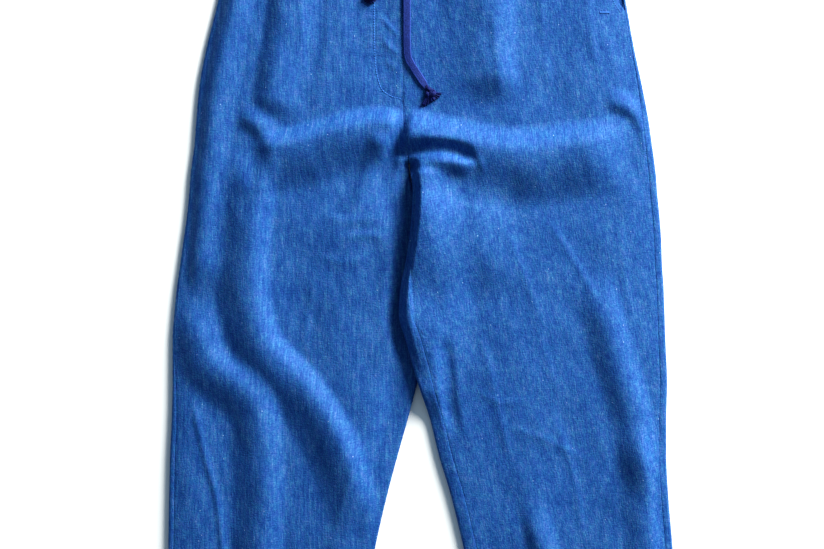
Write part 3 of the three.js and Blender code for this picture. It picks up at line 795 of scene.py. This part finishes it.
def joined(name, pieces):
    """Several meshes made into one piece."""
    bpy.context.view_layer.update()
    for other in bpy.context.selected_objects:
        other.select_set(False)
    for piece in pieces:
        piece.select_set(True)
    bpy.context.view_layer.objects.active = pieces[0]
    bpy.ops.object.join()
    pieces[0].name = name
    return pieces[0]


def tail_line(hand):
    """The middle of a tape end as it lies on the cloth, a little clear of it between its ends."""
    flat = resampled(spline(TAILS[hand]), TAPE_STEP)
    share = np.linspace(0, 1, len(flat))
    rest = torso_top(flat[:, 0], flat[:, 1]) + TAPE_REST + TAPE_THICKNESS / 2
    over_band = BAND_PROUD * smooth((flat[:, 1] - WAIST_SEAM + 4) / 4)
    z = rest + over_band + TAPE_RISE * np.sin(math.pi * share) ** 0.7
    return np.stack([flat[:, 0], flat[:, 1], z], -1)


def tape_tail(hand):
    line = tail_line(hand)
    share = np.linspace(0, 1, len(line))
    roll = 0.12 * np.sin(9.0 * share + 0.6) - 0.2 * smooth((share - 0.75) / 0.2)
    pinch = 1 - 0.35 * smooth((share - 0.94) / 0.06) - 0.25 * smooth((0.04 - share) / 0.04)
    thickness = TAPE_THICKNESS / 2 + 0.02 * np.sin(share * 31)
    return swept(f"drawstring_tail_{hand}_tape", line, (TAPE_WIDTH / 2) * pinch, thickness, roll), line


def overhand(name, centre, heading, scale, stretch, rise, width, thickness):
    """A tape pulled into a small overhand knot: one closed trefoil of flattened tape."""
    t = np.linspace(0, 2 * math.pi, 84, endpoint=False)
    along = (np.cos(t) - 2 * np.cos(2 * t)) * scale * stretch
    across = (np.sin(t) + 2 * np.sin(2 * t)) * scale
    up = -np.sin(3 * t) * rise
    ahead = np.array([*heading, 0.0])
    line = centre + along[:, None] * ahead + across[:, None] * np.cross(UP, ahead) + up[:, None] * UP
    roll = 0.55 * np.sin(3 * t + 0.7)
    return swept(name, line, width * (1 + 0.12 * np.sin(2 * t)), thickness, roll, 12, True)


def fanned(core, ground, angle, length, lift_off):
    """A line from a knot's core out along the cloth."""
    away = np.array([math.cos(math.radians(angle)), math.sin(math.radians(angle))])
    start = core + [*(away * 1.5), lift_off]
    middle = [*(core[:2] + away * length * 0.6), ground + 2.0 + lift_off]
    end = [*(core[:2] + away * length), ground + 0.9 + 0.5 * lift_off]
    return resampled(spline(np.array([start, middle, end])), 1.3)


def fan_at(hand, share):
    """Direction and length of the frayed fan at a share of the way across it."""
    fan = np.array(FANS[hand], float)
    return [np.interp(share, np.linspace(0, 1, len(fan)), column) for column in fan.T]


def end_knot(hand, line):
    """The small tight knot at a tape's end, and the frayed end that fans out below it."""
    heading = unit((line[-1] - line[-4])[:2])
    core = line[-1].copy()
    core[:2] += heading * KNOT_REACH * 0.3
    ground = float(torso_top(core[0], core[1]))
    core[2] = ground + KNOT_LIFT
    name = f"drawstring_knot_{hand}"
    pieces = [overhand(f"{name}_loop", core, heading, KNOT_SCALE, 1.1, 1.5, 2.3, 1.2)]
    neck = np.array([line[-4], line[-1] + 0.8 * UP, core + 1.2 * UP, core + [*(heading * 2), -0.5]])
    pieces.append(swept(f"{name}_neck", resampled(spline(neck), 1.4), 2.7, 1.2, 0.2))
    for i, share in enumerate((0.06, 0.36, 0.66, 0.94)):
        angle, length = fan_at(hand, share)
        path = fanned(core, ground, angle, length * 0.93, 0.25 * (i % 2))
        widening = np.linspace(2.0, 2.9, len(path))
        pieces.append(swept(f"{name}_fold_{i}", path, widening, 0.8, 0.5 * (-1) ** i))
    rng = np.random.default_rng(7 if hand == "left" else 8)
    for i in range(STRANDS):
        angle, length = fan_at(hand, (i + rng.uniform(0, 1)) / STRANDS)
        turned = angle + rng.normal(0, 4)
        length = length * rng.uniform(0.85, 1.08)
        path = fanned(core, ground, turned, length, rng.uniform(-0.3, 0.9))
        pieces.append(swept(f"{name}_strand_{i}", path, 0.5, 0.4, 0.0, 6))
    return joined(f"{name}_tied", pieces)


def tie():
    """A half knot over the centre front, with the tape coming out of the two eyelets."""
    x, y = TIE_PLACE
    ground = float(torso_top(x, y)) + BAND_PROUD
    centre = np.array([x, y, ground + KNOT_LIFT + 0.3])
    pieces = [overhand("tie_loop", centre, np.array([1.0, 0.0]), 2.6, 1.25, 1.9, 3.3, 1.3)]

    def stub(name, path, roll):
        pieces.append(swept(name, resampled(spline(path), 1.6), 3.4, 0.75, roll))

    for i, (ex, ey) in enumerate(EYELETS):
        toward = 1 if ex < x else -1
        band = float(torso_top(ex, ey)) + BAND_PROUD
        stub(f"tie_stub_{i}", [
            (ex, ey, band - 1.2),
            (ex + toward * 3, ey, band + 1.2),
            (ex + toward * 10, ey + 1, ground + 2.6),
            (x - toward * 5, y + 1, ground + 4.4),
            (x + toward * 3, y - 3, ground + 3.6),
        ], 0.1 * toward)
    for hand, toward in (("right", -1), ("left", 1)):
        near, below = centre + [toward * 2.5, 1.5, 1.8], centre + [toward * 5, -4, 1.0]
        stub(f"tie_end_{hand}", [near, below, tail_line(hand)[0] + 0.4 * UP], 0.1)
    return joined("drawstring_tie_tied", pieces)


# Stitches

def stitches(name, centres, directions, normals=UP, length=STITCH_LENGTH, width=STITCH_WIDTH,
             height=STITCH_HEIGHT):
    """Rows of short thread stitches, each a spindle whose ends dive into the cloth."""
    stations = np.array([-1.0, -0.72, 0.0, 0.72, 1.0])
    girth = np.array([0.3, 0.85, 1.0, 0.85, 0.3])
    sink = -0.9 * stations**4
    sides = 6
    angle = 2 * math.pi * np.arange(sides) / sides
    along = np.repeat(stations, sides) * length / 2
    across = np.outer(girth, np.cos(angle)).ravel() * width / 2
    up = (np.outer(girth, np.sin(angle)) * height / 2 + sink[:, None] * height * 0.6).ravel()
    directions = unit(np.asarray(directions, float))
    normals = unit(np.broadcast_to(normals, directions.shape))
    lateral = unit(np.cross(normals, directions))
    offsets = along[None, :, None] * directions[:, None] + across[None, :, None] * lateral[:, None]
    points = centres[:, None] + offsets + up[None, :, None] * normals[:, None]
    index = np.arange(len(stations) * sides).reshape(-1, sides)
    a, b = index[:-1], index[1:]
    faces = np.stack([a, b, np.roll(b, -1, 1), np.roll(a, -1, 1)], -1).reshape(-1, 4)
    every = (faces[None] + (np.arange(len(points)) * index.size)[:, None, None]).reshape(-1, 4)
    return new_mesh(name, points, every.tolist())


def stitches_along(name, line, normals=UP, **sizes):
    """Stitches an even pitch apart along a line of points."""
    both = resampled(np.hstack([line, np.broadcast_to(normals, line.shape)]), STITCH_PITCH)
    middle = (both[1:] + both[:-1]) / 2
    return stitches(name, middle[:, :3], np.diff(both[:, :3], axis=0), middle[:, 3:], **sizes)


def row_along(name, row, first=0, last=None):
    """Stitches along one row of a piece's outer points, a little proud of its cloth."""
    outer, normals = (grid[row, first:last] for grid in SURFACES[name])
    return stitches_along(f"{name}_row_{row}", outer + normals * 0.1, normals)


def on_front(leg, x, y, proud):
    x, y = np.asarray(x, float), np.asarray(y, float)
    return np.stack([x, y, front_top(leg, x, y, y) + proud], -1)


def fly_stitches():
    flat = resampled(spline(FLY_STITCH), 1.5)
    line = on_front(RIGHT, flat[:, 0], flat[:, 1], 0.0)
    line[:, 2] += fly_relief(line[:, 0], line[:, 1]) + 0.25
    return stitches_along("fly_stitching", line, length=3.4, width=1.35, height=0.8)


def pocket_stitches():
    """The row beside the left pocket mouth and the bar tack at its foot."""
    start, end, foot = BAR_TACK
    y = np.linspace(POCKET_TOP, foot, 90)
    x = LEFT.side(y) - LEFT.side_seam(y) - pocket_opening(LEFT, y) - POCKET_STITCH_INSET
    row = stitches_along("pocket_row", on_front(LEFT, x, y, 0.2))
    places = np.linspace(start, end, BAR_TACK_STITCHES)
    centres = on_front(LEFT, places, np.full(places.shape, foot), 0.35)
    lean = [(0.35 * (-1) ** i, 1.0, 0.0) for i in range(BAR_TACK_STITCHES)]
    tack = stitches("bar_tack", centres, lean, length=3.0, width=1.0, height=0.8)
    return joined("pocket_stitching", [row, tack])


def eyelet_stitches():
    """Two round buttonholes worked with radial stitches."""
    pieces = []
    angle = np.linspace(0, 2 * math.pi, EYELET_STITCHES, endpoint=False)
    spread = np.stack([np.cos(angle), np.sin(angle), np.zeros(angle.shape)], -1)
    for i, (x, y) in enumerate(EYELETS):
        at = np.array([x, y, 0.0]) + spread * (EYELET_RADIUS + 1.0)
        at[:, 2] = torso_top(at[:, 0], at[:, 1]) + BAND_PROUD + 0.35
        pieces.append(stitches(f"eyelet_{i}", at, spread, length=2.6, width=1.15, height=0.7))
    return joined("eyelet_stitching", pieces)


def hem_stitches():
    row = int(np.argmin(np.abs(panel_levels() - (HEM + HEM_ROW))))
    under = len(ALLOWANCE)
    pieces = []
    for part, first in (("front", 0), ("back", under)):
        for hand in ("right", "left"):
            pieces.append(row_along(f"{part}_{hand}_cloth", row, first, -under))
    return joined("hem_stitching", pieces)


def waistband_stitches():
    """Two rows on the band's face, in its grooves, and two on the part that passes round the back."""
    outer = SURFACES["waistband_front_cloth"][0]
    levels = outer[:, outer.shape[1] // 2, 1]
    rows = [int(np.argmin(np.abs(levels - y))) for y in (WAIST_SEAM + BAND_ROW, WAIST_TOP - BAND_ROW)]
    pieces = [row_along("waistband_front_cloth", row) for row in rows]
    last = len(SURFACES["waistband_back_cloth"][0]) - 3
    under = len(ALLOWANCE)
    pieces += [row_along("waistband_back_cloth", row, under, -under) for row in (1, last)]
    return joined("waistband_stitching", pieces)


# Materials

def node_tree(name):
    material = bpy.data.materials.new(name)
    material.use_nodes = True
    tree = material.node_tree
    return material, tree, tree.nodes["Principled BSDF"]


def add(tree, kind, inputs=None, **values):
    """A new node with its settings, its inputs set or linked."""
    node = tree.nodes.new(kind)
    for key, value in values.items():
        setattr(node, key, value)
    for key, value in (inputs or {}).items():
        if isinstance(value, bpy.types.NodeSocket):
            tree.links.new(value, node.inputs[key])
        else:
            node.inputs[key].default_value = value
    return node


def maths(tree, operation, a, b=0.0, clamp=False):
    return add(tree, "ShaderNodeMath", {0: a, 1: b}, operation=operation, use_clamp=clamp).outputs[0]


def scaled(tree, coordinates, across, along, turn=0.0):
    """The coordinates with across by along millimetres as one unit."""
    inputs = {
        "Vector": coordinates,
        "Scale": (1 / across, 1 / along, 0.0),
        "Rotation": (0.0, 0.0, math.radians(turn)),
    }
    return add(tree, "ShaderNodeMapping", inputs).outputs[0]


def stretched_noise(tree, coordinates, across, along, detail=2.0, roughness=0.6, turn=0.0):
    """Noise whose grain is across by along millimetres."""
    place = scaled(tree, coordinates, across, along, turn)
    inputs = {"Vector": place, "Scale": 1.0, "Detail": detail, "Roughness": roughness}
    return add(tree, "ShaderNodeTexNoise", inputs, noise_dimensions="2D").outputs[0]


def around_half(tree, value, amount):
    return maths(tree, "MULTIPLY", maths(tree, "SUBTRACT", value, 0.5), amount)


def summed(tree, *values, clamp=False):
    total = values[0]
    for value in values[1:-1]:
        total = maths(tree, "ADD", total, value)
    return maths(tree, "ADD", total, values[-1], clamp=clamp)


def bumped(tree, shader, height, strength, distance):
    """The height as fine relief on the shader's surface."""
    bump = add(tree, "ShaderNodeBump", {"Height": height, "Strength": strength, "Distance": distance})
    tree.links.new(bump.outputs[0], shader.inputs["Normal"])


def grain_socket(tree):
    return add(tree, "ShaderNodeAttribute", attribute_name="grain").outputs["Vector"]


def ramp(tree, value, stops):
    node = add(tree, "ShaderNodeValToRGB", {0: value})
    elements = node.color_ramp.elements
    while len(elements) < len(stops):
        elements.new(0.5)
    for element, (place, colour) in zip(elements, stops):
        element.position = place
        element.color = (*colour, 1.0)
    return node.outputs[0]


CHAMBRAY = (
    (0.0, (0.002, 0.032, 0.170)),
    (0.3, (0.008, 0.070, 0.275)),
    (0.5, (0.023, 0.115, 0.345)),
    (0.72, (0.068, 0.190, 0.415)),
    (1.0, (0.21, 0.36, 0.56)),
)
VIOLET_YARN = (1.25, 0.84, 1.0)
TEAL_YARN = (0.72, 1.13, 1.0)


def mixed(tree, factor, a, b, blend="MIX"):
    settings = {"data_type": "RGBA", "blend_type": blend, "clamp_result": True}
    return add(tree, "ShaderNodeMix", {0: factor, 6: a, 7: b}, **settings).outputs[2]


def neps(tree, grain):
    """A few small pale knots of yarn."""
    inputs = {"Vector": scaled(tree, grain, 26, 34), "Scale": 1.0}
    cells = add(tree, "ShaderNodeTexVoronoi", inputs, voronoi_dimensions="2D")
    split = add(tree, "ShaderNodeSeparateColor", {0: cells.outputs["Color"]})
    near = maths(tree, "LESS_THAN", cells.outputs["Distance"], 0.02)
    some = maths(tree, "GREATER_THAN", split.outputs[0], 0.82)
    return maths(tree, "MULTIPLY", near, some)


def chambray(name, shade=0.5, streaks=0.52, dashes=0.36, turn=0.0):
    """Slubby chambray: light and dark warp streaks, finer weft, a plain weave and soft sheen."""
    material, tree, shader = node_tree(name)
    grain = grain_socket(tree)
    slub = stretched_noise(tree, grain, 2.6, 34, 3.0, 0.6, turn)
    warp = stretched_noise(tree, grain, 1.5, 6.5, 2.0, 0.6, turn)
    weft = stretched_noise(tree, grain, 6.5, 1.3, 2.0, 0.6, turn)
    cell = stretched_noise(tree, grain, 1.5, 1.7, 1.0, 0.5, turn)
    blotch = stretched_noise(tree, grain, 9, 14, 2.0, 0.5, turn)
    tone = stretched_noise(tree, grain, 46, 90, 2.0, 0.5)
    weights = ((slub, streaks), (warp, dashes), (weft, 0.3), (cell, 0.38), (blotch, 0.30), (tone, 0.15))
    shares = [around_half(tree, value, weight) for value, weight in weights]
    # A shade below 0.5 darkens all the yarns: painted shade, used for a piece that lies in shadow.
    yarns = ramp(tree, summed(tree, *shares, shade, clamp=True), CHAMBRAY)
    hue = stretched_noise(tree, grain, 3.4, 9, 1.0, 0.5, turn)
    tint = ramp(tree, hue, ((0.32, VIOLET_YARN), (0.5, (1.0, 1.0, 1.0)), (0.68, TEAL_YARN)))
    yarns = mixed(tree, 0.55, yarns, mixed(tree, 1.0, yarns, tint, "MULTIPLY"))
    yarns = mixed(tree, maths(tree, "MULTIPLY", neps(tree, grain), 0.6), yarns, (0.42, 0.55, 0.80, 1.0))
    tree.links.new(yarns, shader.inputs["Base Color"])
    relief = ((warp, 0.6), (weft, 0.5), (cell, 0.5))
    height = summed(tree, *(maths(tree, "MULTIPLY", value, share) for value, share in relief))
    bumped(tree, shader, height, 0.5, 0.0009)
    shader.inputs["Roughness"].default_value = 0.72
    shader.inputs["Specular IOR Level"].default_value = 0.3
    shader.inputs["Sheen Weight"].default_value = 0.15
    shader.inputs["Sheen Roughness"].default_value = 0.4
    shader.inputs["Sheen Tint"].default_value = (0.45, 0.65, 1.0, 1.0)
    return material


TAPE = ((0.0, (0.004, 0.013, 0.08)), (0.5, (0.013, 0.036, 0.20)), (1.0, (0.05, 0.10, 0.42)))
# A darker copy of the tape for the end knots: painted shade in the knots' folds.
KNOT_PAINTED_SHADE = ((0.0, (0.001, 0.004, 0.040)), (0.5, (0.003, 0.012, 0.12)), (1.0, (0.012, 0.045, 0.30)))


def tape_material(name, stops):
    """Flat woven tape: fine ribs across it and a paler cord along each edge."""
    material, tree, shader = node_tree(name)
    grain = grain_socket(tree)
    across = add(tree, "ShaderNodeSeparateXYZ", {0: grain}).outputs[0]
    rib = stretched_noise(tree, grain, 0.8, 5, 2.0, 0.6)
    pick = stretched_noise(tree, grain, 3.5, 0.8, 2.0, 0.6)
    wales = maths(tree, "MULTIPLY", maths(tree, "SINE", maths(tree, "MULTIPLY", across, 5.6)), 0.05)
    beyond = maths(tree, "SUBTRACT", maths(tree, "ABSOLUTE", across), 2.7)
    edge = maths(tree, "MAXIMUM", maths(tree, "MULTIPLY", beyond, 0.34), 0.0)
    yarns = around_half(tree, rib, 0.8), around_half(tree, pick, 0.7)
    total = summed(tree, *yarns, wales, edge, 0.46, clamp=True)
    tree.links.new(ramp(tree, total, stops), shader.inputs["Base Color"])
    bumped(tree, shader, total, 0.55, 0.0006)
    shader.inputs["Roughness"].default_value = 0.7
    shader.inputs["Specular IOR Level"].default_value = 0.3
    shader.inputs["Sheen Weight"].default_value = 0.1
    return material


def speckled(name, scale, stops, roughness, specular=0.5):
    """A plain material whose colour varies a little from place to place."""
    material, tree, shader = node_tree(name)
    place = add(tree, "ShaderNodeTexCoord").outputs["Object"]
    noise = add(tree, "ShaderNodeTexNoise", {"Vector": place, "Scale": scale}).outputs[0]
    tree.links.new(ramp(tree, noise, stops), shader.inputs["Base Color"])
    shader.inputs["Roughness"].default_value = roughness
    shader.inputs["Specular IOR Level"].default_value = specular
    return material


THREAD = ((0.2, (0.04, 0.14, 0.42)), (0.8, (0.10, 0.26, 0.62)))
FLOOR = ((0.3, (0.90, 0.90, 0.905)), (0.7, (0.93, 0.93, 0.93)))


# Camera, floor and light

def add_camera():
    data = bpy.data.cameras.new("camera")
    data.lens = LENS
    data.sensor_width = SENSOR
    camera = linked("camera", data)
    distance = LENS / SENSOR * PHOTO_WIDTH * MM_PER_PIXEL
    camera.location = (VIEW_CENTRE[0] * MM, VIEW_CENTRE[1] * MM, (distance + CLOTH_LEVEL) * MM)
    bpy.context.scene.camera = camera


def add_floor():
    half = 3.0
    mesh = bpy.data.meshes.new("floor")
    corners = [(-half, -half, 0), (half, -half, 0), (half, half, 0), (-half, half, 0)]
    mesh.from_pydata(corners, [], [(0, 1, 2, 3)])
    mesh.materials.append(speckled("pale_floor", 3.0, FLOOR, 0.85))
    linked("floor", mesh)


def add_area(name, place, size, power, colour):
    data = bpy.data.lights.new(name, "AREA")
    data.color = colour
    data.shape = "SQUARE"
    data.size = size
    data.energy = power
    light = linked(name, data)
    light.location = place
    aim = Vector((-0.02, 0.05, 0.0)) - Vector(place)
    light.rotation_euler = aim.to_track_quat("-Z", "Y").to_euler()


def add_light():
    add_area("key", (2.8, 3.4, 1.95), 2.0, 490, (1.0, 0.98, 0.91))
    world = bpy.data.worlds.new("studio")
    world.use_nodes = True
    background = world.node_tree.nodes["Background"]
    background.inputs["Color"].default_value = (0.66, 0.85, 1.0, 1.0)
    background.inputs["Strength"].default_value = 0.28
    bpy.context.scene.world = world
    bpy.context.scene.view_settings.view_transform = "Standard"
    bpy.context.scene.view_settings.look = "High Contrast"


def cut_area(leg):
    levels = np.linspace(HEM, WAIST_SEAM, 200)
    widths = np.abs(leg.inner(levels) - leg.side(levels))
    return round(float(widths.mean()) * (WAIST_SEAM - HEM) * MM * MM, 4)


def dress(piece, material, node):
    piece.data.materials.append(material)
    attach(piece, "root")
    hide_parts(node)


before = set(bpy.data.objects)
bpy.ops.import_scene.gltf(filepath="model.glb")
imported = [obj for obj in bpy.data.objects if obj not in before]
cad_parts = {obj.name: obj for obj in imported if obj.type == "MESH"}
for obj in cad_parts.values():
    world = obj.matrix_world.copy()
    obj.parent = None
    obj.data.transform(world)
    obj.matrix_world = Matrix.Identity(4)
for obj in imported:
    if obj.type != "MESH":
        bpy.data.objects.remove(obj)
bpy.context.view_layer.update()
add_camera()

tape = tape_material("drawstring_tape", TAPE)
# The end knots take the darker tape: painted shade.
painted_shade_tape = tape_material("drawstring_knots_painted_shade", KNOT_PAINTED_SHADE)
for hand in ("right", "left"):
    tail, line = tape_tail(hand)
    dress(tail, tape, f"drawstring_tail_{hand}")
    knot = end_knot(hand, line)
    dress(knot, painted_shade_tape, f"drawstring_knot_{hand}")
    metres = line * MM
    tuple(metres[0])
dress(tie(), tape, "drawstring_tie")

cloth = chambray("chambray")
hatched = chambray("chambray_hatched", 0.5, 0.34, 0.56, 8.0)
# The pocket facing gets a darker copy of the chambray: painted shade in the pocket mouth.
painted_shade_chambray = chambray("chambray_painted_shade", 0.36)
panels = {
    "front_right": front_panel(RIGHT, 0),
    "front_left": front_panel(LEFT, 8),
    "back_right": back_panel(RIGHT, 0),
    "back_left": back_panel(LEFT, 8),
    "waistband_front": waistband_front(),
    "waistband_back": waistband_back(),
    "pocket_facing_left": pocket_facing(),
}
looks = {"front_left": hatched, "back_left": hatched, "pocket_facing_left": painted_shade_chambray}
for node, piece in panels.items():
    dress(piece, looks.get(node, cloth), node)

thread = speckled("sewing_thread", 900.0, THREAD, 0.75, 0.15)
for sewing in (fly_stitches(), pocket_stitches(), eyelet_stitches(), hem_stitches(), waistband_stitches()):
    sewing.data.materials.append(thread)
    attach(sewing, "root")

add_floor()
add_light()

# The cut of each piece: width, length and, where it isn't a rectangle, its flat area
PANEL_CUT = (0.32, 1.0)
CUTS = {
    "front_right": (PANEL_CUT, cut_area(RIGHT), ("back_right_cloth",)),
    "front_left": (PANEL_CUT, cut_area(LEFT), ("back_left_cloth", "front_right_cloth")),
    "back_right": (PANEL_CUT, cut_area(RIGHT), ("floor",)),
    "back_left": (PANEL_CUT, cut_area(LEFT), ("floor",)),
    "waistband_front": ((0.424, 0.038), None, ("waistband_back_cloth",)),
    "waistband_back": ((0.46, 0.038), None, ("floor",)),
    "pocket_facing_left": ((0.031, 0.137), None, ("back_left_cloth",)),
}
